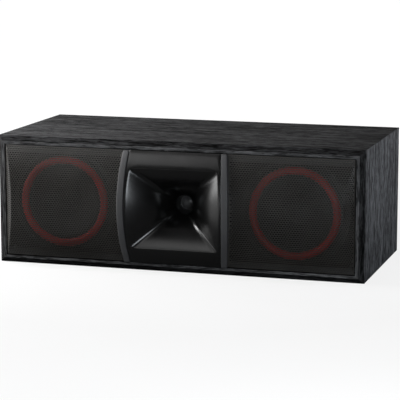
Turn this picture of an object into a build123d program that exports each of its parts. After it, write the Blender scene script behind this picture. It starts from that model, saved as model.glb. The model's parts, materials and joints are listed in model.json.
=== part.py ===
"""Center channel speaker: a wide cabinet with a horn tweeter between two woofers.

Millimetres. +X runs along the width, the front faces -Y, +Z is up.
The origin is the middle of the bottom panel's underside.
"""

import os
from math import cos, radians, sin, sqrt

from build123d import *

# Cabinet
CABINET_WIDTH = 585.0
CABINET_HEIGHT = 202.0
CABINET_DEPTH = 270.0
PANEL = 12.7
FRONT_BEVEL = 8.7
EDGE_ROUND = 0.8
BAFFLE = 15.0
BAFFLE_RECESS = 15.0
BACK_RECESS = 4.0
BRACE = 12.0
BRACE_RIM = 26.0
BRACE_CORNER = 14.0

# Bowed front: how far each edge stands out of the lip, and its bow at mid-height
GRILLE_PROUD = -1.0
GRILLE_BOW = 17.5
GRILLE_GAP = 1.6
GRILLE_SHEET = 1.2
GRILLE_END_SLANT = 14.0
BAR_PROUD = 4.5
BAR_BOW = 18.5
BAR_WIDTH = 9.3
BAR_SPREAD = 1.1
HORN_PROUD = 3.5
HORN_BOW = 18.0
HORN_GAP = 0.8

# Coarse stand-in for the fine perforation of the grille sheets
PERFORATION_COLUMNS = 11
PERFORATION_ROWS = 10
PERFORATION_RADIUS = 6.0
PERFORATION_MARGIN = 7.0

# Grille rails, pegs and peg cups
RAIL_HEIGHT = 10.0
RAIL = 4.0
PEG_RADIUS = 3.5
PEG_DEPTH = 7.0
PEG_INSET = 7.0
PEG_CLEARANCE = 0.3
CUP_WALL = 1.2
CUP_FLANGE_RADIUS = 6.0
CUP_FLANGE = 1.5
CUP_FLOOR = 1.5

# Horn
HORN_FACE_WIDTH = 144.6
HORN_BULGE = 4.9
HORN_STEP = 5.0
HORN_WALL = 3.0
MOUTH_WIDTH = 139.0
MOUTH_BULGE = 4.8
MOUTH_HEIGHT = 124.0
MOUTH_CORNER = 9.0
MOUTH_DROP = 1.6
THROAT_RADIUS = 12.0
HORN_LENGTH = 83.5
THROAT_RELIEF = 0.5
FLARE_POWER = 2.4
FLARE_STEPS = 8
HORN_FLANGE_RADIUS = 42.0
HORN_FLANGE = 4.0
HORN_BOSS_RADIUS = 5.0
HORN_BOSS_GAP = 1.3
HORN_BOSS_Z = 62.0
HORN_CUTOUT_CLEARANCE = 2.0

# Tweeter behind the horn
DIAPHRAGM_RIM = 0.8
DIAPHRAGM_RIM_RADIUS = 34.0
DOME_RISE = 4.5
DOME_SKIN = 0.5
TWEETER_COIL = 0.6
TWEETER_COIL_LENGTH = 8.0
TWEETER_PLATE_RADIUS = 42.0
TWEETER_PLATE = 5.0
TWEETER_MAGNET_RADIUS = 34.0
TWEETER_MAGNET_BORE = 18.0
TWEETER_MAGNET = 15.0
TWEETER_YOKE = 5.0
TWEETER_SCREW_CIRCLE = 38.0
COIL_GAP = 0.5

# Woofers, as radii and depths from the baffle's front face
WOOFER_SIDE_GAP = 11.4
WOOFER_TOP_GAP = 4.3
FLANGE_RIM = 12.0
FLANGE = 4.0
BASKET_WALL = 3.0
BASKET_STRAIGHT = 17.0
BASKET_LEDGE_RADIUS = 57.0
BASKET_LEDGE_BORE = 46.0
BASKET_LEDGE_DEPTH = 42.0
BASKET_DEPTH = 55.0
BASKET_FLOOR_RADIUS = 50.0
BASKET_FLOOR_BORE = 30.0
BASKET_WINDOWS = 6
BASKET_WINDOW_WIDTH = 36.0
CUTOUT_CLEARANCE = 0.6
SURROUND_GAP = 0.7
SURROUND_ROLL = 14.0
SURROUND_SKIN = 1.0
SURROUND_FOOT = 5.0
CONE_LIP = 2.8
CONE_SKIN = 1.0
CONE_DEPTH = 30.0
DUST_CAP_RADIUS = 20.0
DUST_CAP_RISE = 7.0
COIL_RADIUS = 13.2
COIL_WALL = 0.5
COIL_WINDING = 0.4
COIL_WINDING_LENGTH = 12.0
COIL_TAIL = 9.0
GLUE_GAP = 0.1
SPIDER_SKIN = 0.6
SPIDER_WAVE = 1.6
SPIDER_WAVES = 4
WOOFER_PLATE_RADIUS = 48.0
WOOFER_PLATE = 6.0
WOOFER_MAGNET_RADIUS = 50.0
WOOFER_MAGNET_BORE = 22.0
WOOFER_MAGNET = 18.0
WOOFER_YOKE = 6.0
POLE_VENT_RADIUS = 5.0
GASKET = 2.0
TAG_WIDTH = 12.0
TAG_LENGTH = 11.0
TAG = 2.0

# Screws
SCREW_RADIUS = 1.8
SCREW_HEAD_RADIUS = 3.6
SCREW_HEAD = 2.4
SCREW_LENGTH = 16.0
SCREW_CLEARANCE = 0.1
DRIVER_SCREWS = 4
DRIVER_SCREW_ANGLE = 45.0
HEAD_CHAMFER = 0.5
SMALL_SCREW_RADIUS = 1.5
SMALL_HEAD_RADIUS = 3.0
SMALL_HEAD = 2.0

# Rear terminals
CUP_PLATE_WIDTH = 96.0
CUP_PLATE_HEIGHT = 64.0
CUP_PLATE = 3.0
CUP_PLATE_CORNER = 6.0
CUP_WIDTH = 74.0
CUP_HEIGHT = 44.0
CUP_DEPTH = 24.0
CUP_CORNER = 5.0
CUP_SHELL = 2.5
CUP_FIT = 0.5
POST_SPACING = 19.0
POST_RADIUS = 3.0
POST_TAIL = 9.0
BANANA_RADIUS = 2.0
BANANA_DEPTH = 16.0
WIRE_HOLE_RADIUS = 1.2
COLLAR_RADIUS = 7.0
COLLAR = 4.0
THUMB_NUT_RADIUS = 6.5
THUMB_NUT = 17.0
THUMB_NUT_FLUTES = 12
FLUTE_RADIUS = 0.8
NUT_STAND_OFF = 2.5
NUT_CLEARANCE = 0.06
LOCK_NUT_RADIUS = 5.5
LOCK_NUT = 4.0

# Crossover and leads
BOARD_WIDTH = 120.0
BOARD_LENGTH = 76.0
BOARD = 1.6
BOARD_BACK_GAP = 24.3
STANDOFF = 8.0
STANDOFF_RADIUS = 4.0
STANDOFF_PIN_RADIUS = 1.5
STANDOFF_INSET = 6.0
# Each coil's x and y on the board, outer radius, bore radius and height
COIL_FORMS = ((-30.0, 16.0, 20.0, 8.0, 22.0), (32.0, 16.0, 17.0, 7.0, 18.0))
CAPACITOR_RADIUS = 8.0
CAPACITOR_LENGTH = 30.0
CAPACITOR_PLACES = ((-22.0, -24.0), (22.0, -24.0))
RESISTOR_SIZE = (34.0, 9.0, 9.0)
RESISTOR_PLACES = ((-22.0, -9.0), (22.0, -9.0))
LEAD_RADIUS = 2.2
LEAD_BEND = 18.0

# Places worked out from the sizes above
LIP_Y = -CABINET_DEPTH / 2
REAR_Y = CABINET_DEPTH / 2
MID_Z = CABINET_HEIGHT / 2
LIP_WIDTH = CABINET_WIDTH - 2 * FRONT_BEVEL
LIP_HEIGHT = CABINET_HEIGHT - 2 * FRONT_BEVEL
INNER_WIDTH = CABINET_WIDTH - 2 * PANEL
INNER_HEIGHT = CABINET_HEIGHT - 2 * PANEL
BAFFLE_Y = LIP_Y + BAFFLE_RECESS
BAFFLE_BACK_Y = BAFFLE_Y + BAFFLE
BACK_PANEL_Y = REAR_Y - BACK_RECESS
BACK_INNER_Y = BACK_PANEL_Y - PANEL
BOARD_Y = BACK_INNER_Y - BOARD_BACK_GAP - BOARD_LENGTH / 2
GRILLE_Y = LIP_Y - GRILLE_PROUD
GRILLE_HALF = INNER_HEIGHT / 2 - GRILLE_GAP
GRILLE_END_X = INNER_WIDTH / 2 - GRILLE_GAP
BAR_Y = LIP_Y - BAR_PROUD
HORN_Y = LIP_Y - HORN_PROUD
HORN_HALF = INNER_HEIGHT / 2 - HORN_GAP
HORN_TIP_Y = HORN_Y - HORN_BOW
THROAT_Y = HORN_TIP_Y + HORN_LENGTH
HORN_AXIS_Z = MID_Z - MOUTH_DROP
HORN_BACK_Y = THROAT_Y + HORN_FLANGE
HORN_EDGE_X = HORN_FACE_WIDTH / 2
SKIRT_EDGE_X = HORN_EDGE_X - HORN_STEP
BAR_INNER_X = HORN_EDGE_X + HORN_GAP
BAR_OUTER_X = BAR_INNER_X + BAR_WIDTH
BAR_OUTER_BULGE = HORN_BULGE + BAR_SPREAD
RAIL_RISE = GRILLE_HALF - RAIL_HEIGHT / 2
FLANGE_RADIUS = INNER_HEIGHT / 2 - WOOFER_TOP_GAP
BASKET_RADIUS = FLANGE_RADIUS - FLANGE_RIM
SURROUND_OUTER = BASKET_RADIUS - SURROUND_GAP
SURROUND_INNER = SURROUND_OUTER - SURROUND_ROLL
SURROUND_FOOT_RADIUS = SURROUND_OUTER + SURROUND_FOOT
WOOFER_X = INNER_WIDTH / 2 - WOOFER_SIDE_GAP - FLANGE_RADIUS
WOOFER_SCREW_CIRCLE = (FLANGE_RADIUS + SURROUND_FOOT_RADIUS) / 2
SIDES = {"left": -1, "right": 1}


def at_y(y):
    """Upright plane at depth y, with sketch axes along X and Z."""
    return Plane.XZ.offset(-y)


def grille_end_x(y):
    """Slanted outer end of a grille at depth y."""
    return GRILLE_END_X - GRILLE_END_SLANT / GRILLE_BOW * (GRILLE_Y - y)


def arc_radius(half, bow):
    """Radius of an arc of the given half-chord and bow."""
    return (half**2 + bow**2) / (2 * bow)


def arc_drop(half, bow, rise):
    """How far an arc of the given half-chord and bow has fallen from its crown at a rise."""
    radius = arc_radius(half, bow)
    return radius - sqrt(radius**2 - rise**2)


def rail_start_x():
    """Inner end of the grille rails, clear of the horn's bulging side over their height."""
    return BAR_INNER_X + HORN_BULGE - arc_drop(HORN_HALF, HORN_BULGE, GRILLE_HALF - RAIL_HEIGHT)


def save(piece, name):
    """Label a finished piece and write it."""
    piece.part.label = name
    export_step(piece.part, f"parts/{name}.step")


def bowed_profile(edge_y, half, bow, back_y):
    """Section of a front that bows forward between two edges, seen along X."""
    low, high = MID_Z - half, MID_Z + half
    with BuildSketch(Plane.YZ) as profile:
        with BuildLine():
            ThreePointArc((edge_y, low), (edge_y - bow, MID_Z), (edge_y, high))
            if back_y == edge_y:
                Line((edge_y, high), (edge_y, low))
            else:
                Polyline((edge_y, high), (back_y, high), (back_y, low), (edge_y, low))
        make_face()
    return profile.sketch


def trim_to_bow(edge_y, half, bow, back_y):
    """Keep what lies behind a bowed front in the current part."""
    profile = bowed_profile(edge_y, half, bow, back_y)
    extrude(profile, CABINET_WIDTH / 2, both=True, mode=Mode.INTERSECT)


def front_band(y, half, first, second):
    """Region seen from the front between two bulging sides, each a distance from the middle and a bulge."""
    low, high = MID_Z - half, MID_Z + half
    with BuildSketch(at_y(y)) as band:
        with BuildLine():
            for x, bulge in (first, second):
                ThreePointArc((x, low), (x + bulge, MID_Z), (x, high))
            for z in (low, high):
                Line((first[0], z), (second[0], z))
        make_face()
    return band.sketch


def outline(points):
    """Closed straight-sided outline in the current sketch."""
    Polygon(*points, align=None)


def turned(plane, points, name):
    """Turned piece about the Y axis through the plane's origin, from radius and depth points."""
    with BuildPart() as piece:
        with BuildSketch(plane):
            outline(points)
        revolve(axis=Axis(plane.origin, (0, 1, 0)))
    save(piece, name)


def ring(plane, inner, outer, start, end, name):
    """Plain turned ring between two radii and two depths."""
    turned(plane, ((inner, start), (outer, start), (outer, end), (inner, end)), name)


def screws(places, head_y, radius, head_radius, head, length, towards, name):
    """Group of equal screws along Y; towards is +1 where the tips point to the back."""
    with BuildPart() as group:
        with BuildSketch(at_y(head_y)):
            with Locations(*places):
                Circle(head_radius)
        extrude(amount=towards * head)
        with BuildSketch(at_y(head_y)):
            with Locations(*places):
                Circle(radius)
        extrude(amount=-towards * length)
        chamfer(group.faces().sort_by(Axis.Y)[:: towards][: len(places)].edges(), HEAD_CHAMFER)
    save(group, name)


def cabinet_panel(name, wedge):
    """One mitred panel: the part of the bevelled cabinet sleeve that lies in its wedge."""
    bevel_y = LIP_Y + FRONT_BEVEL
    with BuildPart() as panel:
        with BuildSketch(at_y(bevel_y)):
            with Locations((0, MID_Z)):
                RectangleRounded(CABINET_WIDTH, CABINET_HEIGHT, EDGE_ROUND)
        extrude(amount=bevel_y - REAR_Y)
        with BuildSketch(at_y(bevel_y)):
            with Locations((0, MID_Z)):
                RectangleRounded(CABINET_WIDTH, CABINET_HEIGHT, EDGE_ROUND)
        with BuildSketch(at_y(LIP_Y)):
            with Locations((0, MID_Z)):
                RectangleRounded(LIP_WIDTH, LIP_HEIGHT, EDGE_ROUND)
        loft(ruled=True)
        with BuildSketch(at_y(LIP_Y)):
            with Locations((0, MID_Z)):
                Rectangle(INNER_WIDTH, INNER_HEIGHT)
        extrude(amount=-CABINET_DEPTH, mode=Mode.SUBTRACT)
        with BuildSketch(at_y(LIP_Y)):
            outline(wedge)
        extrude(amount=-CABINET_DEPTH, mode=Mode.INTERSECT)
    save(panel, name)


def cabinet():
    """Four mitred panels."""
    right, top = CABINET_WIDTH / 2, CABINET_HEIGHT
    low_mid = (-right + MID_Z, MID_Z)
    high_mid = (right - MID_Z, MID_Z)
    cabinet_panel("top_panel", ((-right, top), (right, top), high_mid, low_mid))
    cabinet_panel("bottom_panel", ((-right, 0), (right, 0), high_mid, low_mid))
    cabinet_panel("left_side_panel", ((-right, 0), (-right, top), low_mid))
    cabinet_panel("right_side_panel", ((right, 0), (right, top), high_mid))


def screw_circle(x, z, radius):
    """Screw positions on a circle round a driver's centre, in X and Z."""
    turns = [radians(DRIVER_SCREW_ANGLE + 360 / DRIVER_SCREWS * i) for i in range(DRIVER_SCREWS)]
    return [(x + radius * cos(a), z + radius * sin(a)) for a in turns]


def woofer_screw_places():
    """Screw positions of both woofers, in X and Z."""
    return [place for s in SIDES.values() for place in screw_circle(s * WOOFER_X, MID_Z, WOOFER_SCREW_CIRCLE)]


def tweeter_screw_places():
    """Screw positions of the tweeter, in X and Z."""
    return screw_circle(0, HORN_AXIS_Z, TWEETER_SCREW_CIRCLE)


def peg_places():
    """Grille peg positions, in X and Z."""
    inner = rail_start_x() + PEG_INSET
    outer = GRILLE_END_X - PEG_INSET
    return [(s * x, MID_Z + t * RAIL_RISE) for s in SIDES.values() for x in (inner, outer) for t in (-1, 1)]


def boss_x():
    """Distance of the horn's screw bosses from its middle, just inside its side walls."""
    return SKIRT_EDGE_X - HORN_WALL - HORN_BOSS_GAP - HORN_BOSS_RADIUS


def boss_places():
    """Horn screw bosses, in X and Z."""
    return [(i * boss_x(), MID_Z + j * HORN_BOSS_Z) for i in (-1, 1) for j in (-1, 1)]


def brace_x():
    """Middle of a brace, half-way between the horn's screw heads and the woofer's basket."""
    return (boss_x() + SCREW_HEAD_RADIUS + WOOFER_X - BASKET_RADIUS) / 2


def flare_share(share):
    """Half-width and half-height of the horn's bore at a share of its length from the throat."""
    growth = share**FLARE_POWER
    wide = THROAT_RADIUS + (MOUTH_WIDTH / 2 - THROAT_RADIUS) * growth
    tall = THROAT_RADIUS + (MOUTH_HEIGHT / 2 - THROAT_RADIUS) * growth
    return wide, tall


def mouth_y():
    """Depth of the mouth's upper and lower edges, on the bowed face."""
    return HORN_TIP_Y + arc_drop(HORN_HALF, HORN_BOW, MOUTH_HEIGHT / 2)


def flare_section(y, wide, tall, corner):
    """Rounded section of the horn's bore, as half-width, half-height and corner radius."""
    with BuildSketch(at_y(y)) as section:
        with Locations((0, HORN_AXIS_Z)):
            RectangleRounded(2 * wide, 2 * tall, corner)
    return section.sketch


def flare_bore(skin):
    """The horn's bore grown outward by skin: the flare, and the wider lips beside the mouth."""
    sections = []
    for step in range(FLARE_STEPS + 1):
        share = step / FLARE_STEPS
        wide, tall = flare_share(share)
        corner = THROAT_RADIUS + (MOUTH_CORNER - THROAT_RADIUS) * share - GLUE_GAP
        y = THROAT_Y + (mouth_y() - THROAT_Y) * share
        sections.append(flare_section(y, wide + skin, tall + skin, corner + skin))
    grow = skin + MOUTH_BULGE
    lips = flare_section(HORN_TIP_Y, wide + grow, tall + grow, corner + grow)
    with BuildPart() as bore:
        loft(sections)
        loft([sections[-1], lips], ruled=True)
    return bore.part


def front_baffle():
    """Board that carries the drivers, with their cut-outs and the peg cup holes."""
    wide, tall = flare_share((THROAT_Y - BAFFLE_Y) / (THROAT_Y - mouth_y()))
    grow = HORN_WALL + HORN_CUTOUT_CLEARANCE
    with BuildPart() as baffle:
        with BuildSketch(at_y(BAFFLE_Y)):
            with Locations((0, MID_Z)):
                Rectangle(INNER_WIDTH, INNER_HEIGHT)
            with Locations(*[(s * WOOFER_X, MID_Z) for s in SIDES.values()]):
                Circle(BASKET_RADIUS + CUTOUT_CLEARANCE, mode=Mode.SUBTRACT)
            with Locations((0, HORN_AXIS_Z)):
                RectangleRounded(2 * (wide + grow), 2 * (tall + grow), MOUTH_CORNER, mode=Mode.SUBTRACT)
            with Locations(*peg_places()):
                Circle(PEG_RADIUS + PEG_CLEARANCE + CUP_WALL + SCREW_CLEARANCE, mode=Mode.SUBTRACT)
            with Locations(*woofer_screw_places(), *boss_places()):
                Circle(SCREW_RADIUS + SCREW_CLEARANCE, mode=Mode.SUBTRACT)
        extrude(amount=-BAFFLE)
    save(baffle, "front_baffle")


def back_panel():
    """Inset back board with the terminal cup's cut-out."""
    with BuildPart() as panel:
        with BuildSketch(at_y(BACK_PANEL_Y)):
            with Locations((0, MID_Z)):
                Rectangle(INNER_WIDTH, INNER_HEIGHT)
                fit = 2 * (CUP_SHELL + CUP_FIT)
                RectangleRounded(CUP_WIDTH + fit, CUP_HEIGHT + fit, CUP_CORNER, mode=Mode.SUBTRACT)
            with Locations(*cup_screw_places()):
                Circle(SMALL_SCREW_RADIUS + SCREW_CLEARANCE, mode=Mode.SUBTRACT)
        extrude(amount=PANEL)
    save(panel, "back_panel")


def braces():
    """Window braces between the baffle and the back panel."""
    for side, s in SIDES.items():
        with BuildPart() as brace:
            with BuildSketch(Plane.YZ.offset(s * brace_x() - BRACE / 2)):
                with Locations(((BAFFLE_BACK_Y + BACK_INNER_Y) / 2, MID_Z)):
                    depth = BACK_INNER_Y - BAFFLE_BACK_Y
                    Rectangle(depth, INNER_HEIGHT)
                    RectangleRounded(
                        depth - 2 * BRACE_RIM, INNER_HEIGHT - 2 * BRACE_RIM, BRACE_CORNER, mode=Mode.SUBTRACT
                    )
            extrude(amount=BRACE)
        save(brace, f"{side}_brace")


def slanted_block(s, skin, tip_y):
    """Block behind one grille in the current part, its slanted outer end drawn in by skin."""
    with BuildSketch(Plane.XY.offset(MID_Z - GRILLE_HALF)) as plan:
        outline(
            (
                (0, GRILLE_Y),
                (0, tip_y),
                (s * (grille_end_x(tip_y) - skin), tip_y),
                (s * (grille_end_x(GRILLE_Y) - skin), GRILLE_Y),
            )
        )
    extrude(plan.sketch, 2 * GRILLE_HALF)


def grilles():
    """Bowed perforated sheets with a slanted outer end."""
    tip_y = GRILLE_Y - GRILLE_BOW
    centre_y = tip_y + arc_radius(GRILLE_HALF, GRILLE_BOW)
    inner_radius = arc_radius(GRILLE_HALF, GRILLE_BOW) - GRILLE_SHEET
    hollow_half = sqrt(inner_radius**2 - (centre_y - GRILLE_Y) ** 2)
    end_skin = GRILLE_SHEET * sqrt(1 + (GRILLE_END_SLANT / GRILLE_BOW) ** 2)
    inner_x = BAR_OUTER_X + GLUE_GAP
    flat_inner = inner_x + BAR_OUTER_BULGE + PERFORATION_MARGIN
    flat_outer = grille_end_x(tip_y) - PERFORATION_MARGIN
    column_pitch = (flat_outer - flat_inner) / PERFORATION_COLUMNS
    row_pitch = 2 * (GRILLE_HALF - PERFORATION_MARGIN) / PERFORATION_ROWS
    middle = front_band(GRILLE_Y, HORN_HALF, (-inner_x, -BAR_OUTER_BULGE), (inner_x, BAR_OUTER_BULGE))
    for side, s in SIDES.items():
        with BuildPart() as hollow:
            slanted_block(s, end_skin, tip_y)
            trim_to_bow(GRILLE_Y, hollow_half, GRILLE_BOW - GRILLE_SHEET, GRILLE_Y)
        with BuildPart() as sheet:
            slanted_block(s, 0.0, tip_y)
            trim_to_bow(GRILLE_Y, GRILLE_HALF, GRILLE_BOW, GRILLE_Y)
            add(hollow.part, mode=Mode.SUBTRACT)
            extrude(middle, GRILLE_BOW, mode=Mode.SUBTRACT)
            with BuildSketch(at_y(tip_y)):
                with Locations((s * (flat_inner + flat_outer) / 2, MID_Z)):
                    with GridLocations(column_pitch, row_pitch, PERFORATION_COLUMNS, PERFORATION_ROWS):
                        RegularPolygon(PERFORATION_RADIUS, 6)
            extrude(amount=-GRILLE_BOW, mode=Mode.SUBTRACT)
        save(sheet, f"{side}_grille")


def trim_bars():
    """Curved bars at the inner end of each grille."""
    for side, s in SIDES.items():
        inner = (s * BAR_INNER_X, s * HORN_BULGE)
        outer = (s * BAR_OUTER_X, s * BAR_OUTER_BULGE)
        with BuildPart() as bar:
            extrude(front_band(GRILLE_Y, HORN_HALF, inner, outer), GRILLE_Y - BAR_Y + BAR_BOW)
            trim_to_bow(BAR_Y, GRILLE_HALF, BAR_BOW, GRILLE_Y)
        save(bar, f"{side}_trim_bar")


def grille_rails():
    """Upper and lower rail of each grille, each with two pegs, and the cups that take the pegs."""
    start, end = rail_start_x(), GRILLE_END_X
    for side, s in SIDES.items():
        with BuildPart() as rails:
            with BuildSketch(at_y(GRILLE_Y)):
                with Locations(*[(s * (start + end) / 2, MID_Z + t * RAIL_RISE) for t in (-1, 1)]):
                    Rectangle(end - start, RAIL_HEIGHT)
            extrude(amount=-RAIL)
            with BuildSketch(at_y(GRILLE_Y + RAIL)):
                with Locations(*[place for place in peg_places() if place[0] * s > 0]):
                    Circle(PEG_RADIUS)
            extrude(amount=GRILLE_Y + RAIL - BAFFLE_Y - PEG_DEPTH)
        save(rails, f"{side}_grille_rails")
    bore = PEG_RADIUS + PEG_CLEARANCE
    with BuildPart() as cups:
        with BuildSketch(at_y(BAFFLE_Y)):
            with Locations(*peg_places()):
                Circle(CUP_FLANGE_RADIUS)
        extrude(amount=CUP_FLANGE)
        with BuildSketch(at_y(BAFFLE_Y)):
            with Locations(*peg_places()):
                Circle(bore + CUP_WALL)
        extrude(amount=-(PEG_DEPTH + PEG_CLEARANCE + CUP_FLOOR))
        with BuildSketch(at_y(BAFFLE_Y - CUP_FLANGE)):
            with Locations(*peg_places()):
                Circle(bore)
        extrude(amount=-(CUP_FLANGE + PEG_DEPTH + PEG_CLEARANCE), mode=Mode.SUBTRACT)
    save(cups, "peg_cups")


def horn_block(back_y):
    """Bowed block of the horn's face and the skirt behind it in the current part."""
    edges = (-HORN_EDGE_X, -HORN_BULGE), (HORN_EDGE_X, HORN_BULGE)
    extrude(front_band(GRILLE_Y, HORN_HALF, *edges), GRILLE_Y - HORN_TIP_Y)
    with BuildSketch(at_y(back_y)) as skirt:
        with Locations((0, MID_Z)):
            Rectangle(2 * SKIRT_EDGE_X, 2 * HORN_HALF)
    extrude(skirt.sketch, back_y - HORN_TIP_Y)
    trim_to_bow(HORN_Y, HORN_HALF, HORN_BOW, back_y)


def horn():
    """Horn moulding: a bowed, hollow-backed face and a flare that runs back to a round throat."""
    with BuildPart() as hollow:
        with BuildSketch(at_y(BAFFLE_Y)):
            with Locations((0, MID_Z)):
                Rectangle(2 * (SKIRT_EDGE_X - HORN_WALL), 2 * (HORN_HALF - HORN_WALL))
        extrude(amount=BAFFLE_Y - HORN_TIP_Y)
        trim_to_bow(HORN_Y + HORN_WALL, HORN_HALF, HORN_BOW, BAFFLE_Y)
        with BuildSketch(at_y(BAFFLE_Y)):
            with Locations(*boss_places()):
                Circle(HORN_BOSS_RADIUS)
        extrude(amount=BAFFLE_Y - HORN_TIP_Y, mode=Mode.SUBTRACT)
    with BuildPart() as limit:
        horn_block(HORN_BACK_Y)
    with BuildPart() as shell:
        add(flare_bore(HORN_WALL))
        add(limit.part, mode=Mode.INTERSECT)
    with BuildPart() as flare:
        horn_block(BAFFLE_Y)
        add(hollow.part, mode=Mode.SUBTRACT)
        add(shell.part)
        with BuildSketch(at_y(THROAT_Y)):
            with Locations((0, HORN_AXIS_Z)):
                Circle(HORN_FLANGE_RADIUS)
        extrude(amount=-HORN_FLANGE)
        add(flare_bore(0.0), mode=Mode.SUBTRACT)
        with BuildSketch(at_y(HORN_BACK_Y)):
            with Locations((0, HORN_AXIS_Z)):
                Circle(THROAT_RADIUS + THROAT_RELIEF)
            with Locations(*tweeter_screw_places()):
                Circle(SMALL_SCREW_RADIUS + SCREW_CLEARANCE)
        extrude(amount=HORN_FLANGE, mode=Mode.SUBTRACT)
        with BuildSketch(at_y(BAFFLE_Y)):
            with Locations(*boss_places()):
                Circle(SCREW_RADIUS + SCREW_CLEARANCE)
        extrude(amount=SCREW_LENGTH, mode=Mode.SUBTRACT)
    save(flare, "horn_flare")
    screws(boss_places(), BAFFLE_BACK_Y, SCREW_RADIUS, SCREW_HEAD_RADIUS, SCREW_HEAD,
           BAFFLE + SCREW_LENGTH - SCREW_HEAD, -1, "horn_screws")


def tweeter():
    """Dome tweeter clamped behind the horn's throat."""
    plane = Plane((0, HORN_BACK_Y, HORN_AXIS_Z))
    plate_start = DIAPHRAGM_RIM
    plate_end = plate_start + TWEETER_PLATE
    magnet_end = plate_end + TWEETER_MAGNET
    yoke_end = magnet_end + TWEETER_YOKE
    dome_radius = THROAT_RADIUS - COIL_GAP
    coil_outer = dome_radius
    coil_inner = coil_outer - TWEETER_COIL
    with BuildPart() as diaphragm:
        with BuildSketch(plane):
            with BuildLine():
                TangentArc((0, -DOME_RISE), (dome_radius, 0), tangent=(1, 0))
                Polyline(
                    (dome_radius, 0),
                    (DIAPHRAGM_RIM_RADIUS, 0),
                    (DIAPHRAGM_RIM_RADIUS, DIAPHRAGM_RIM),
                    (coil_inner, DIAPHRAGM_RIM),
                )
                TangentArc((0, DOME_SKIN - DOME_RISE), (coil_inner, DIAPHRAGM_RIM), tangent=(1, 0))
                Line((0, DOME_SKIN - DOME_RISE), (0, -DOME_RISE))
            make_face()
        revolve(axis=Axis(plane.origin, (0, 1, 0)))
    save(diaphragm, "tweeter_diaphragm")
    ring(plane, coil_inner, coil_outer, plate_start, plate_start + TWEETER_COIL_LENGTH, "tweeter_voice_coil")
    with BuildPart() as plate:
        with BuildSketch(at_y(HORN_BACK_Y + plate_start)):
            with Locations((0, HORN_AXIS_Z)):
                Circle(TWEETER_PLATE_RADIUS)
                Circle(coil_outer + COIL_GAP, mode=Mode.SUBTRACT)
            with Locations(*tweeter_screw_places()):
                Circle(SMALL_SCREW_RADIUS + SCREW_CLEARANCE, mode=Mode.SUBTRACT)
        extrude(amount=-TWEETER_PLATE)
    save(plate, "tweeter_top_plate")
    ring(plane, TWEETER_MAGNET_BORE, TWEETER_MAGNET_RADIUS, plate_end, magnet_end, "tweeter_magnet")
    pole = coil_inner - COIL_GAP
    turned(
        plane,
        (
            (0, plate_start),
            (pole, plate_start),
            (pole, magnet_end),
            (TWEETER_MAGNET_RADIUS, magnet_end),
            (TWEETER_MAGNET_RADIUS, yoke_end),
            (0, yoke_end),
        ),
        "tweeter_yoke",
    )
    screws(tweeter_screw_places(), HORN_BACK_Y + plate_end, SMALL_SCREW_RADIUS, SMALL_HEAD_RADIUS, SMALL_HEAD,
           plate_end + HORN_FLANGE - SCREW_CLEARANCE, -1, "tweeter_screws")


def tweeter_tag_z():
    """Height of the tweeter's tag board, which hangs below its magnet."""
    return HORN_AXIS_Z - TWEETER_MAGNET_RADIUS - COIL_GAP - TAG_LENGTH / 2


def woofer_basket(plane, s, name):
    """Basket with a flange, a windowed cone wall, a spider ledge and a tab for the tag board."""
    neck = BASKET_RADIUS - BASKET_WALL
    floor_top = BASKET_DEPTH - BASKET_WALL
    window_depth = BASKET_LEDGE_DEPTH - BASKET_STRAIGHT - BASKET_WALL
    with BuildPart() as basket:
        with BuildSketch(plane):
            outline(
                (
                    (FLANGE_RADIUS, -FLANGE),
                    (FLANGE_RADIUS, 0),
                    (BASKET_RADIUS, 0),
                    (BASKET_RADIUS, BASKET_STRAIGHT),
                    (BASKET_LEDGE_RADIUS, BASKET_LEDGE_DEPTH + GLUE_GAP),
                    (BASKET_FLOOR_RADIUS, BASKET_DEPTH),
                    (BASKET_FLOOR_BORE, BASKET_DEPTH),
                    (BASKET_FLOOR_BORE, floor_top),
                    (BASKET_LEDGE_BORE, floor_top),
                    (BASKET_LEDGE_BORE, BASKET_LEDGE_DEPTH),
                    (BASKET_LEDGE_RADIUS - BASKET_WALL, BASKET_LEDGE_DEPTH),
                    (neck, BASKET_STRAIGHT),
                    (neck, -FLANGE),
                )
            )
        revolve(axis=Axis(plane.origin, (0, 1, 0)))
        centre = (plane.origin.X, plane.origin.Z)
        with BuildSketch(at_y(BAFFLE_Y + BASKET_STRAIGHT + BASKET_WALL / 2)):
            with Locations(centre):
                with PolarLocations((BASKET_RADIUS + BASKET_FLOOR_RADIUS) / 2, BASKET_WINDOWS):
                    Rectangle(BASKET_RADIUS - BASKET_FLOOR_RADIUS + 2 * BASKET_WALL, BASKET_WINDOW_WIDTH)
        extrude(amount=-window_depth, mode=Mode.SUBTRACT)
        with BuildSketch(at_y(BAFFLE_Y + floor_top)):
            with Locations((centre[0] - s * (BASKET_FLOOR_RADIUS + TAG_LENGTH / 2), centre[1])):
                Rectangle(TAG_LENGTH + 2 * BASKET_WALL, TAG_WIDTH)
        extrude(amount=-BASKET_WALL)
        with BuildSketch(at_y(BAFFLE_Y)):
            with Locations(*woofer_screw_places()):
                Circle(SCREW_RADIUS + SCREW_CLEARANCE)
        extrude(amount=FLANGE, mode=Mode.SUBTRACT)
    save(basket, name)


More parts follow.
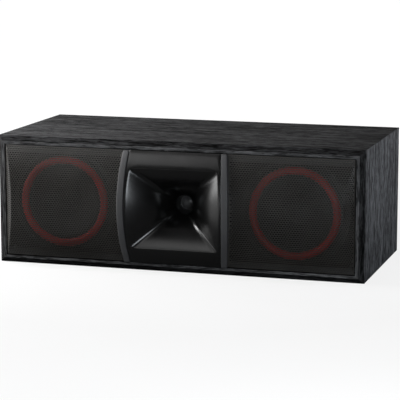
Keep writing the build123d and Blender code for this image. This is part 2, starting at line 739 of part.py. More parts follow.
def woofer_surround(plane, name):
    """Half-roll rubber edge between two flat feet."""
    foot = -FLANGE
    skin = SURROUND_SKIN
    front = foot - skin
    mid = (SURROUND_OUTER + SURROUND_INNER) / 2
    crest = FLANGE + (SURROUND_OUTER - SURROUND_INNER) / 2
    with BuildPart() as surround:
        with BuildSketch(plane):
            with BuildLine():
                ThreePointArc((SURROUND_INNER, front), (mid, -crest), (SURROUND_OUTER, front))
                Polyline(
                    (SURROUND_OUTER, front),
                    (SURROUND_FOOT_RADIUS, front),
                    (SURROUND_FOOT_RADIUS, foot),
                    (SURROUND_OUTER - skin, foot),
                )
                outer_end, inner_end = (SURROUND_OUTER - skin, foot), (SURROUND_INNER + skin, foot)
                ThreePointArc(outer_end, (mid, skin - crest), inner_end)
                Polyline(
                    (SURROUND_INNER + skin, foot),
                    (SURROUND_INNER - CONE_LIP, foot),
                    (SURROUND_INNER - CONE_LIP, front),
                    (SURROUND_INNER, front),
                )
            make_face()
        revolve(axis=Axis(plane.origin, (0, 1, 0)))
    save(surround, name)


def cone_depth(radius):
    """Depth of the cone's front face at a radius."""
    lip = SURROUND_INNER - CONE_LIP
    return -FLANGE + CONE_DEPTH * (lip - radius) / (lip - COIL_RADIUS)


def woofer_moving_parts(plane, side):
    """Cone, dust cap and voice coil, which travel together."""
    neck = COIL_RADIUS + GLUE_GAP
    lip = SURROUND_INNER - CONE_LIP
    turned(
        plane,
        (
            (neck, cone_depth(neck)),
            (lip, -FLANGE),
            (SURROUND_INNER, -FLANGE),
            (SURROUND_INNER, -FLANGE + CONE_SKIN),
            (lip, -FLANGE + CONE_SKIN),
            (neck, cone_depth(neck) + CONE_SKIN),
        ),
        f"{side}_woofer_cone",
    )
    seat = cone_depth(DUST_CAP_RADIUS)
    crown = seat - DUST_CAP_RISE
    inner = DUST_CAP_RADIUS - CONE_SKIN
    with BuildPart() as cap:
        with BuildSketch(plane):
            with BuildLine():
                TangentArc((0, crown), (DUST_CAP_RADIUS, seat), tangent=(1, 0))
                Line((DUST_CAP_RADIUS, seat), (inner, seat))
                TangentArc((0, crown + CONE_SKIN), (inner, seat), tangent=(1, 0))
                Line((0, crown + CONE_SKIN), (0, crown))
            make_face()
        revolve(axis=Axis(plane.origin, (0, 1, 0)))
    save(cap, f"{side}_woofer_dust_cap")
    winding = COIL_RADIUS + COIL_WINDING
    tail = BASKET_DEPTH + COIL_TAIL
    turned(
        plane,
        (
            (COIL_RADIUS - COIL_WALL, cone_depth(neck)),
            (COIL_RADIUS, cone_depth(neck)),
            (COIL_RADIUS, tail - COIL_WINDING_LENGTH),
            (winding, tail - COIL_WINDING_LENGTH),
            (winding, tail),
            (COIL_RADIUS - COIL_WALL, tail),
        ),
        f"{side}_woofer_voice_coil",
    )


def woofer_spider(plane, name):
    """Corrugated disc from the coil to the basket's ledge."""
    inner, outer = COIL_RADIUS + GLUE_GAP, BASKET_LEDGE_RADIUS - BASKET_WALL - GLUE_GAP
    ledge = BASKET_LEDGE_DEPTH - SPIDER_SKIN
    pitch = (BASKET_LEDGE_BORE - 2 * CONE_LIP - inner) / (2 * SPIDER_WAVES)
    start = inner + CONE_LIP
    folds = range(2 * SPIDER_WAVES + 1)
    peaks = [(start + pitch * i, ledge - SPIDER_WAVE * (i % 2)) for i in folds]
    top = [(inner, ledge), *peaks, (outer, ledge)]
    turned(plane, (*top, *[(r, d + SPIDER_SKIN) for r, d in reversed(top)]), name)


def woofer_motor(plane, side):
    """Top plate, ring magnet and vented yoke."""
    gap_outer = COIL_RADIUS + COIL_WINDING + COIL_GAP
    pole = COIL_RADIUS - COIL_WALL - COIL_GAP
    plate_end = BASKET_DEPTH + WOOFER_PLATE
    magnet_end = plate_end + WOOFER_MAGNET
    yoke_end = magnet_end + WOOFER_YOKE
    ring(plane, gap_outer, WOOFER_PLATE_RADIUS, BASKET_DEPTH, plate_end, f"{side}_woofer_top_plate")
    ring(plane, WOOFER_MAGNET_BORE, WOOFER_MAGNET_RADIUS, plate_end, magnet_end, f"{side}_woofer_magnet")
    turned(
        plane,
        (
            (POLE_VENT_RADIUS, BASKET_DEPTH),
            (pole, BASKET_DEPTH),
            (pole, magnet_end),
            (WOOFER_PLATE_RADIUS, magnet_end),
            (WOOFER_PLATE_RADIUS, yoke_end),
            (POLE_VENT_RADIUS, yoke_end),
        ),
        f"{side}_woofer_yoke",
    )


def woofer_tag_x(s):
    """Middle of a woofer's tag board, on the side towards the cabinet's middle."""
    return s * (WOOFER_X - WOOFER_MAGNET_RADIUS - COIL_GAP - TAG_LENGTH / 2)


def woofers():
    """Both woofers and the screws that hold them."""
    for side, s in SIDES.items():
        plane = Plane((s * WOOFER_X, BAFFLE_Y, MID_Z))
        woofer_basket(plane, s, f"{side}_woofer_basket")
        woofer_surround(plane, f"{side}_woofer_surround")
        gasket_start = -FLANGE - SURROUND_SKIN
        ring(plane, SURROUND_OUTER + SURROUND_SKIN, SURROUND_FOOT_RADIUS, gasket_start - GASKET,
             gasket_start, f"{side}_woofer_gasket")
        woofer_moving_parts(plane, side)
        woofer_spider(plane, f"{side}_woofer_spider")
        woofer_motor(plane, side)
    screws(woofer_screw_places(), BAFFLE_Y - FLANGE, SCREW_RADIUS, SCREW_HEAD_RADIUS, SCREW_HEAD,
           SCREW_LENGTH, 1, "woofer_screws")


def tag_boards():
    """Solder tag boards of the three drivers."""
    with BuildPart() as tags:
        with BuildSketch(at_y(BAFFLE_Y + BASKET_DEPTH)):
            with Locations(*[(woofer_tag_x(s), MID_Z) for s in SIDES.values()]):
                Rectangle(TAG_LENGTH, TAG_WIDTH)
        extrude(amount=-TAG)
        with BuildSketch(at_y(HORN_BACK_Y + DIAPHRAGM_RIM + TWEETER_PLATE)):
            with Locations((0, tweeter_tag_z())):
                Rectangle(TAG_WIDTH, TAG_LENGTH)
        extrude(amount=-TAG)
    save(tags, "tag_boards")


def cup_screw_places():
    """Terminal cup screws, at the corners of its plate, in X and Z."""
    half_x = (CUP_PLATE_WIDTH + CUP_WIDTH) / 4
    half_z = (CUP_PLATE_HEIGHT + CUP_HEIGHT) / 4
    return [(i * half_x, MID_Z + j * half_z) for i in (-1, 1) for j in (-1, 1)]


def terminals():
    """Terminal cup in the back panel with two binding posts."""
    floor_y = BACK_PANEL_Y - CUP_DEPTH
    posts = {"red": POST_SPACING / 2, "black": -POST_SPACING / 2}
    places = [(x, MID_Z) for x in posts.values()]
    with BuildPart() as cup:
        with BuildSketch(at_y(BACK_PANEL_Y)):
            with Locations((0, MID_Z)):
                RectangleRounded(CUP_PLATE_WIDTH, CUP_PLATE_HEIGHT, CUP_PLATE_CORNER)
        extrude(amount=-CUP_PLATE)
        with BuildSketch(at_y(BACK_PANEL_Y)):
            with Locations((0, MID_Z)):
                RectangleRounded(CUP_WIDTH + 2 * CUP_SHELL, CUP_HEIGHT + 2 * CUP_SHELL, CUP_CORNER)
        extrude(amount=CUP_DEPTH + CUP_SHELL)
        with BuildSketch(at_y(BACK_PANEL_Y + CUP_PLATE)):
            with Locations((0, MID_Z)):
                RectangleRounded(CUP_WIDTH, CUP_HEIGHT, CUP_CORNER)
        extrude(amount=CUP_DEPTH + CUP_PLATE, mode=Mode.SUBTRACT)
        with BuildSketch(at_y(BACK_PANEL_Y + CUP_PLATE)):
            with Locations(*places):
                Circle(POST_RADIUS + SCREW_CLEARANCE)
            with Locations(*cup_screw_places()):
                Circle(SMALL_SCREW_RADIUS + SCREW_CLEARANCE)
        extrude(amount=CUP_DEPTH + CUP_PLATE + CUP_SHELL, mode=Mode.SUBTRACT)
    save(cup, "terminal_cup")
    screws(cup_screw_places(), BACK_PANEL_Y + CUP_PLATE, SMALL_SCREW_RADIUS, SMALL_HEAD_RADIUS, SMALL_HEAD,
           CUP_PLATE + PANEL - SMALL_HEAD, -1, "terminal_cup_screws")
    collar_y = floor_y + COLLAR
    nut_y = collar_y + NUT_STAND_OFF
    tip_y = nut_y + THUMB_NUT
    back_y = floor_y - CUP_SHELL
    with BuildPart() as studs:
        with BuildSketch(at_y(tip_y)):
            with Locations(*places):
                Circle(POST_RADIUS)
        extrude(amount=tip_y - back_y + POST_TAIL)
        with BuildSketch(at_y(back_y)):
            with Locations(*places):
                RegularPolygon(LOCK_NUT_RADIUS, 6)
        extrude(amount=LOCK_NUT)
        with BuildSketch(at_y(tip_y)):
            with Locations(*places):
                Circle(BANANA_RADIUS)
        extrude(amount=BANANA_DEPTH, mode=Mode.SUBTRACT)
        with BuildSketch(Plane.XY.offset(MID_Z)):
            with Locations(*[(x, collar_y + NUT_STAND_OFF / 2) for x in posts.values()]):
                Circle(WIRE_HOLE_RADIUS)
        extrude(amount=POST_RADIUS, both=True, mode=Mode.SUBTRACT)
    save(studs, "binding_posts")
    with BuildPart() as collars:
        with BuildSketch(at_y(floor_y)):
            with Locations(*places):
                Circle(COLLAR_RADIUS)
                Circle(POST_RADIUS + SCREW_CLEARANCE, mode=Mode.SUBTRACT)
        extrude(amount=-COLLAR)
    save(collars, "post_collars")
    for colour, x in posts.items():
        with BuildPart() as nut:
            with BuildSketch(at_y(nut_y)):
                with Locations((x, MID_Z)):
                    Circle(THUMB_NUT_RADIUS)
                    Circle(POST_RADIUS + NUT_CLEARANCE, mode=Mode.SUBTRACT)
                    with PolarLocations(THUMB_NUT_RADIUS, THUMB_NUT_FLUTES):
                        Circle(FLUTE_RADIUS, mode=Mode.SUBTRACT)
            extrude(amount=-THUMB_NUT)
        save(nut, f"{colour}_thumb_nut")


def standoff_places():
    """Crossover standoffs, in X and Y."""
    half_x = BOARD_WIDTH / 2 - STANDOFF_INSET
    half_y = BOARD_LENGTH / 2 - STANDOFF_INSET
    return [(i * half_x, BOARD_Y + j * half_y) for i in (-1, 1) for j in (-1, 1)]


def crossover():
    """Board on standoffs behind the horn, with coils, capacitors and resistors."""
    board_z = PANEL + STANDOFF
    top_z = board_z + BOARD
    with BuildPart() as standoffs:
        with BuildSketch(Plane.XY.offset(PANEL)):
            with Locations(*standoff_places()):
                Circle(STANDOFF_RADIUS)
        extrude(amount=STANDOFF)
        with BuildSketch(Plane.XY.offset(board_z)):
            with Locations(*standoff_places()):
                Circle(STANDOFF_PIN_RADIUS)
        extrude(amount=2 * BOARD)
    save(standoffs, "crossover_standoffs")
    with BuildPart() as board:
        with BuildSketch(Plane.XY.offset(board_z)):
            with Locations((0, BOARD_Y)):
                Rectangle(BOARD_WIDTH, BOARD_LENGTH)
            with Locations(*standoff_places()):
                Circle(STANDOFF_PIN_RADIUS + SCREW_CLEARANCE, mode=Mode.SUBTRACT)
        extrude(amount=BOARD)
    save(board, "crossover_board")
    with BuildPart() as coils:
        for x, y, outer, inner, height in COIL_FORMS:
            with BuildSketch(Plane.XY.offset(top_z)):
                with Locations((x, BOARD_Y + y)):
                    Circle(outer)
                    Circle(inner, mode=Mode.SUBTRACT)
            extrude(amount=height)
    save(coils, "crossover_coils")
    with BuildPart() as capacitors:
        for x, y in CAPACITOR_PLACES:
            with BuildSketch(Plane.YZ.offset(x - CAPACITOR_LENGTH / 2)):
                with Locations((BOARD_Y + y, top_z + CAPACITOR_RADIUS + GLUE_GAP)):
                    Circle(CAPACITOR_RADIUS)
            extrude(amount=CAPACITOR_LENGTH)
    save(capacitors, "crossover_capacitors")
    with BuildPart() as resistors:
        with BuildSketch(Plane.XY.offset(top_z)):
            with Locations(*[(x, BOARD_Y + y) for x, y in RESISTOR_PLACES]):
                Rectangle(RESISTOR_SIZE[0], RESISTOR_SIZE[1])
        extrude(amount=RESISTOR_SIZE[2])
    save(resistors, "crossover_resistors")


def lead(points, name):
    """Insulated twin lead along straight runs with round bends."""
    with BuildPart() as wire:
        with BuildLine() as route:
            FilletPolyline(*points, radius=LEAD_BEND)
        with BuildSketch(Plane(route.line @ 0, z_dir=route.line % 0)):
            Circle(LEAD_RADIUS)
        sweep(path=route.line)
    save(wire, name)


def leads():
    """Leads from the terminals to the crossover, and from there to the drivers."""
    top_z = PANEL + STANDOFF + BOARD
    input_y = BOARD_Y + BOARD_LENGTH / 2 - 2 * STANDOFF_INSET
    lead(
        ((0, BACK_PANEL_Y - CUP_DEPTH - CUP_SHELL, MID_Z), (0, input_y, MID_Z), (0, input_y, top_z)),
        "input_lead",
    )
    tag_y = HORN_BACK_Y + DIAPHRAGM_RIM + TWEETER_PLATE + TAG
    tweeter_y = BOARD_Y - BOARD_LENGTH / 2 + STANDOFF_INSET
    tag_z = tweeter_tag_z()
    lead(((0, tag_y, tag_z), (0, tweeter_y, tag_z), (0, tweeter_y, top_z)), "tweeter_lead")
    woofer_y = BAFFLE_Y + BASKET_DEPTH + TAG
    landing_x = BOARD_WIDTH / 2 - STANDOFF_INSET
    for side, s in SIDES.items():
        lead(
            (
                (woofer_tag_x(s), woofer_y, MID_Z),
                (woofer_tag_x(s), BOARD_Y, MID_Z),
                (s * landing_x, BOARD_Y, MID_Z),
                (s * landing_x, BOARD_Y, top_z),
            ),
            f"{side}_woofer_lead",
        )


def main():
    os.makedirs("parts", exist_ok=True)
    cabinet()
    front_baffle()
    back_panel()
    braces()
    grilles()
    trim_bars()
    grille_rails()
    horn()
    tweeter()
    woofers()
    tag_boards()
    terminals()
    crossover()
    leads()


main()
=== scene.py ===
"""Center channel speaker: looks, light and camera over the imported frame."""
import json
from math import cos, pi, radians, sin, sqrt

import bpy
import numpy as np
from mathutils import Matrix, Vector


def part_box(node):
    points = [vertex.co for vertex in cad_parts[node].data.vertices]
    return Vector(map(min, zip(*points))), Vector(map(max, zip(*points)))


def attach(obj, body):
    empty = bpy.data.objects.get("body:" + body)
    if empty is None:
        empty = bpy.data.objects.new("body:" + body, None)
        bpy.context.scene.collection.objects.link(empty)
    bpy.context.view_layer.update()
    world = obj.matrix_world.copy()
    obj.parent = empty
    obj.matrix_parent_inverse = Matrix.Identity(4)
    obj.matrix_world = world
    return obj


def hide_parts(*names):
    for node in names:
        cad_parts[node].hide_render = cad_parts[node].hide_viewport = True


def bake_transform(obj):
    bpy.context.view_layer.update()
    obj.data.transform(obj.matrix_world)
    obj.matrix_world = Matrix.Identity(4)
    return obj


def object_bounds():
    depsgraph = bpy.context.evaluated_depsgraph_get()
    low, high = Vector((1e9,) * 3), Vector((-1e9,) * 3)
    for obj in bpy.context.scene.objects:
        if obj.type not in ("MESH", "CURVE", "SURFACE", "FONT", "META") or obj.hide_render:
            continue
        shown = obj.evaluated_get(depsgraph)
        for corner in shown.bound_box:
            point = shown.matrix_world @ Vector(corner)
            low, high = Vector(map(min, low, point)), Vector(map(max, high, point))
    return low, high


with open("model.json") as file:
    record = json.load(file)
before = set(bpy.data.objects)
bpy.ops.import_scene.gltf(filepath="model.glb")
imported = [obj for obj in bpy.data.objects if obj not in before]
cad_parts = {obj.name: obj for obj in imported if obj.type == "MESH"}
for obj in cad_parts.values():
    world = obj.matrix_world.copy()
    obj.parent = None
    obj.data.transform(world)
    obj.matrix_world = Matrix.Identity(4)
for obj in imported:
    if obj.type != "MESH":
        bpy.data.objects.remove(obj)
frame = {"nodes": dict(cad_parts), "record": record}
CAD_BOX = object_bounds()
MM = 0.001

# Camera, set to the photo
CAMERA_PLACE = (0.816, -2.7143, 0.588)
CAMERA_AZIMUTH = radians(16.77)
CAMERA_ELEVATION = radians(9.94)
CAMERA_LENS = 162.2
CAMERA_SENSOR = 36.0

# Horn
HORN_BOW = 18 * MM
HORN_BULGE = 4.9 * MM
HORN_SKIRT_INSET = 5 * MM
HORN_LEDGE_FALL = 0.8 * MM
HORN_WALL = 2.4 * MM
HORN_EDGE_ROUND = 1.0 * MM
MOUTH_WIDTH = 139 * MM
MOUTH_HEIGHT = 124 * MM
MOUTH_BULGE = 4.8 * MM
MOUTH_CORNER = 4 * MM
MOUTH_DROP = 1.6 * MM
MOUTH_LIP = 1.7 * MM
MOUTH_ROLL = 3.2 * MM
THROAT_RADIUS = 12 * MM
THROAT_FLANGE_RADIUS = 42 * MM
THROAT_FLANGE = 4 * MM
FLARE_POWER = 2.4
FLARE_LOOPS = 40
FLARE_CROWDING = 1.25
FLARE_KEPT = 0.975
HORN_QUARTER = 84
LIP_STEPS = 6
EDGE_STEPS = 4
FACE_SHARES = (0.25, 0.5, 0.75)

# Cabinet
BEVEL_DEPTH = 8.7 * MM
# Fade of the painted shade on the front bevel
PAINTED_SHADE_FADE = 0.6 * MM
# Fade of the painted highlight on the front lip
PAINTED_HIGHLIGHT_FADE_START = 0.5 * MM
PAINTED_HIGHLIGHT_FADE_END = 0.3 * MM

# Grilles and trim bars
GRILLE_BOW = 17.5 * MM
GRILLE_END_SLOPE = 0.8
GRILLE_SHEET = 0.5 * MM
HOLE_PITCH = 4.2 * MM
ROW_PITCH = 3.2 * MM
HOLE_HALF_WIDTH = 1.76 * MM
HOLE_HALF_HEIGHT = 1.2 * MM
HOLE_MARGIN = 0.3 * MM
SPOT_GRID = 0.01 * MM
GLUE_GAP = 0.1 * MM
BAR_BOW = 18.5 * MM
BAR_BULGE = 6.0 * MM
BAR_ROUND = 1.6 * MM
BAR_INNER_ROUND = 0.7 * MM
BAR_STATIONS = 48
BAR_ROUND_STEPS = 6

# Woofer surround
ROLL_WIDTH = 12 * MM
GLUE_WIDTH = 5 * MM
SURROUND_FOOT = 5 * MM
ROLL_STEPS = 28
ROUND_STEPS = 160

# White sweep behind and to the left, as mirrors see it
BACK_SWEEP = 0.35
LEFT_SWEEP = 0.9
FLOOR_SWEEP_REACH = 0.4
SKY_SWEEP_REACH = 0.9
SKY_FILL = 0.05
FLOOR_HALF = 9.0


def arc_drop(half, bow, offset):
    """How far a bow of this depth falls back from its crest, at an offset from its middle."""
    radius = (half * half + bow * bow) / (2 * bow)
    return radius - np.sqrt(np.maximum(radius * radius - np.square(offset), 0))


def lerp(first, second, share):
    return first + (second - first) * share


# Meshes

def piece(name, points, faces, body, replaced=()):
    """One visible piece: a mesh in the shared frame that rides a body."""
    mesh = bpy.data.meshes.new(name)
    mesh.from_pydata([tuple(point) for point in points], [], faces)
    mesh.validate()
    thing = bpy.data.objects.new(name, mesh)
    bpy.context.scene.collection.objects.link(thing)
    if body:
        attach(thing, body)
    if replaced:
        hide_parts(*replaced)
    return thing


def dress(thing, material):
    thing.data.materials.clear()
    thing.data.materials.append(material)


def smooth(thing, angle=38):
    """Rounded shading that stays crisp on the real edges."""
    thing.data.polygons.foreach_set("use_smooth", [True] * len(thing.data.polygons))
    thing.data.set_sharp_from_angle(angle=radians(angle))


def loop_faces(loops, count):
    """Quads between consecutive closed loops of the same point count."""
    faces = []
    for ring in range(loops - 1):
        low = ring * count
        for step in range(count):
            after = (step + 1) % count
            faces.append((low + step, low + after, low + count + after, low + count + step))
    return faces


def turned(profile, centre, steps=ROUND_STEPS):
    """Points and faces of a closed profile of (radius, y) pairs turned about the line along Y."""
    count = len(profile)
    points = []
    for turn in range(steps):
        angle = 2 * pi * turn / steps
        for radius, y in profile:
            points.append((centre[0] + radius * cos(angle), y, centre[1] + radius * sin(angle)))
    faces = []
    for turn in range(steps):
        here = turn * count
        after = (turn + 1) % steps * count
        for index in range(count):
            ahead = (index + 1) % count
            faces.append((here + index, after + index, after + ahead, here + ahead))
    return points, faces


# Horn

HORN_LOW, HORN_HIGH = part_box("horn_flare")
HORN_MIDDLE = (HORN_LOW.z + HORN_HIGH.z) / 2
HORN_HALF = (HORN_HIGH.z - HORN_LOW.z) / 2
HORN_TIP = HORN_LOW.y
HORN_AXIS = HORN_MIDDLE - MOUTH_DROP
HORN_EDGE = HORN_HIGH.x - HORN_BULGE
BAFFLE_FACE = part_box("front_baffle")[0].y
GRILLE_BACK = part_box("left_grille")[1].y
THROAT_FACE = HORN_HIGH.y - THROAT_FLANGE


def horn_face_y(z):
    return HORN_TIP + arc_drop(HORN_HALF, HORN_BOW, z - HORN_MIDDLE)


def horn_edge_x(z):
    return HORN_EDGE + HORN_BULGE - arc_drop(HORN_HALF, HORN_BULGE, z - HORN_MIDDLE)


def horn_angles():
    """Directions around the horn axis; one of them meets each corner of the face."""
    top = HORN_MIDDLE + HORN_HALF - HORN_AXIS
    bottom = HORN_AXIS - HORN_MIDDLE + HORN_HALF
    upper = np.arctan2(top, HORN_EDGE)
    lower = np.arctan2(bottom, HORN_EDGE)
    corners = [-lower, upper, pi - upper, pi + lower, 2 * pi - lower]
    angles = [np.linspace(first, second, HORN_QUARTER, endpoint=False)
              for first, second in zip(corners, corners[1:])]
    return np.concatenate(angles)


def rounded_outline(angles, wide, tall, corner):
    """Points of a rounded rectangle in the given directions from its middle."""
    across = np.abs(np.cos(angles))
    up = np.abs(np.sin(angles))
    to_side = wide / np.maximum(across, 1e-9)
    to_top = tall / np.maximum(up, 1e-9)
    reach = np.minimum(to_side, to_top)
    middle_x = wide - corner
    middle_z = tall - corner
    in_corner = (reach * across > middle_x) & (reach * up > middle_z)
    along = across * middle_x + up * middle_z
    inside = along * along - middle_x ** 2 - middle_z ** 2 + corner * corner
    to_corner = along + np.sqrt(np.maximum(inside, 0))
    reach = np.where(in_corner, to_corner, reach)
    return reach * np.cos(angles), reach * np.sin(angles)


def flare_outline(angles, share):
    """Outline of the flare at a share of its depth, as x and height above the axis."""
    grown = share ** FLARE_POWER
    wide = lerp(THROAT_RADIUS, MOUTH_WIDTH / 2, grown)
    tall = lerp(THROAT_RADIUS, MOUTH_HEIGHT / 2, grown)
    corner = lerp(THROAT_RADIUS * 0.999, MOUTH_CORNER, share ** 2)
    x, rise = rounded_outline(angles, wide, tall, corner)
    x = x * (1 + MOUTH_BULGE * grown / wide * (1 - np.square(rise / tall)))
    return x, rise


def flare_loop(angles, share):
    """One loop of the flare; its depth follows the bowed face at the mouth."""
    x, rise = flare_outline(angles, share)
    mouth_y = horn_face_y(HORN_AXIS + flare_outline(angles, 1.0)[1])
    return np.stack([x, lerp(THROAT_FACE, mouth_y, share), HORN_AXIS + rise], axis=1)


def face_outline(angles):
    """Edge of the horn's face in the given directions from the horn axis."""
    top = HORN_MIDDLE + HORN_HALF - HORN_AXIS
    bottom = HORN_MIDDLE - HORN_HALF - HORN_AXIS
    side = np.sign(np.cos(angles))
    slope = np.tan(angles)
    reach = np.full_like(angles, HORN_EDGE)
    for _ in range(6):
        reach = horn_edge_x(np.clip(HORN_AXIS + side * reach * slope, HORN_AXIS + bottom, HORN_AXIS + top))
    rise = side * reach * slope
    limit = np.where(rise > 0, top, bottom)
    over = np.abs(rise) > np.abs(limit)
    x = np.where(over, limit / np.where(over, slope, 1), side * reach)
    return x, HORN_AXIS + np.where(over, limit, rise)


def bend(first, corner, last, steps):
    """Loops along a soft bend from one loop to another, pulled toward the corner loop."""
    shares = np.linspace(0, 1, steps + 1)
    return [first * (1 - t) ** 2 + corner * 2 * t * (1 - t) + last * t * t for t in shares]


def toward(first, second, distance):
    """The first loop moved a set distance along the way to the second."""
    way = second - first
    length = np.linalg.norm(way, axis=1, keepdims=True)
    return first + way * np.minimum(distance / np.maximum(length, 1e-9), 1)


def make_horn():
    """Flare, rolled mouth, bowed face and the skirt behind it, as one shell."""
    angles = horn_angles()
    shares = 1 - (1 - np.linspace(0, 1, FLARE_LOOPS)) ** FLARE_CROWDING
    flare = [flare_loop(angles, share) for share in shares[:-1]]
    mouth = flare_loop(angles, 1.0)
    x, z = face_outline(angles)
    edge = np.stack([x, horn_face_y(z), z], axis=1)

    lip_in = toward(mouth, flare[-2], MOUTH_ROLL)
    lip_out = toward(mouth, edge, MOUTH_LIP)
    lip_out[:, 1] = horn_face_y(lip_out[:, 2])
    depth = THROAT_FACE - mouth[:, 1]
    kept = [loop for loop in flare if np.all((THROAT_FACE - loop[:, 1]) / depth < FLARE_KEPT)]
    loops = kept + bend(lip_in, mouth, lip_out, LIP_STEPS)

    round_in = toward(edge, lip_out, HORN_EDGE_ROUND)
    round_in[:, 1] = horn_face_y(round_in[:, 2])
    for share in FACE_SHARES:
        loop = lerp(lip_out, round_in, share)
        loop[:, 1] = horn_face_y(loop[:, 2])
        loops.append(loop)
    side = edge.copy()
    side[:, 1] += HORN_EDGE_ROUND
    loops += bend(round_in, edge, side, EDGE_STEPS)
    skirt = edge.copy()
    skirt[:, 1] = GRILLE_BACK
    loops.append(skirt.copy())
    skirt[:, 0] *= (HORN_EDGE - HORN_SKIRT_INSET) / horn_edge_x(skirt[:, 2])
    skirt[:, 1] += HORN_LEDGE_FALL
    loops.append(skirt.copy())
    skirt[:, 1] = BAFFLE_FACE
    loops.append(skirt)

    points = np.concatenate(loops)
    faces = [tuple(reversed(face)) for face in loop_faces(len(loops), len(angles))]
    horn = piece("horn", points, faces, "cabinet", ("horn_flare",))
    shell = horn.modifiers.new("wall", "SOLIDIFY")
    shell.thickness = HORN_WALL
    shell.offset = -1
    smooth(horn, 40)
    return horn


def make_throat_flange():
    """Round plate at the throat that the tweeter is screwed to."""
    profile = [(THROAT_RADIUS, THROAT_FACE), (THROAT_RADIUS, HORN_HIGH.y),
               (THROAT_FLANGE_RADIUS, HORN_HIGH.y), (THROAT_FLANGE_RADIUS, THROAT_FACE)]
    points, faces = turned(profile, (0, HORN_AXIS), 96)
    flange = piece("horn_throat_flange", points, faces, "cabinet", ("horn_flare",))
    smooth(flange)
    return flange


# Trim bars

def make_trim_bar(side, sign):
    """A bowed bar with a crisp inner edge and a softer outer one."""
    low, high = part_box(f"{side}_trim_bar")
    middle = (low.z + high.z) / 2
    half = (high.z - low.z) / 2
    inner_edge = min(abs(low.x), abs(high.x))
    outer_tip = max(abs(low.x), abs(high.x))
    heights = np.linspace(-half, half, BAR_STATIONS)
    turns = np.linspace(0, pi / 2, BAR_ROUND_STEPS)
    rings = []
    for height in heights:
        inner = inner_edge + HORN_BULGE - arc_drop(HORN_HALF, HORN_BULGE, height)
        outer = outer_tip - arc_drop(HORN_HALF, BAR_BULGE, height)
        front = low.y + arc_drop(HORN_HALF, BAR_BOW, height)
        ring = [(inner, high.y)]
        ring += [(inner + BAR_INNER_ROUND * (1 - cos(t)), front + BAR_INNER_ROUND * (1 - sin(t)))
                 for t in turns]
        ring += [(outer - BAR_ROUND * (1 - sin(t)), front + BAR_ROUND * (1 - cos(t))) for t in turns]
        ring.append((outer, high.y))
        rings.append([(sign * x, y, middle + height) for x, y in ring])
    count = len(rings[0])
    points = [point for ring in rings for point in ring]
    faces = loop_faces(len(rings), count)
    last = (len(rings) - 1) * count
    faces.append(tuple(range(count)))
    faces.append(tuple(last + index for index in reversed(range(count))))
    if sign < 0:
        faces = [tuple(reversed(face)) for face in faces]
    bar = piece(f"{side}_bar", points, faces, f"{side}_grille_set", (f"{side}_trim_bar",))
    smooth(bar)
    return bar


# Grilles

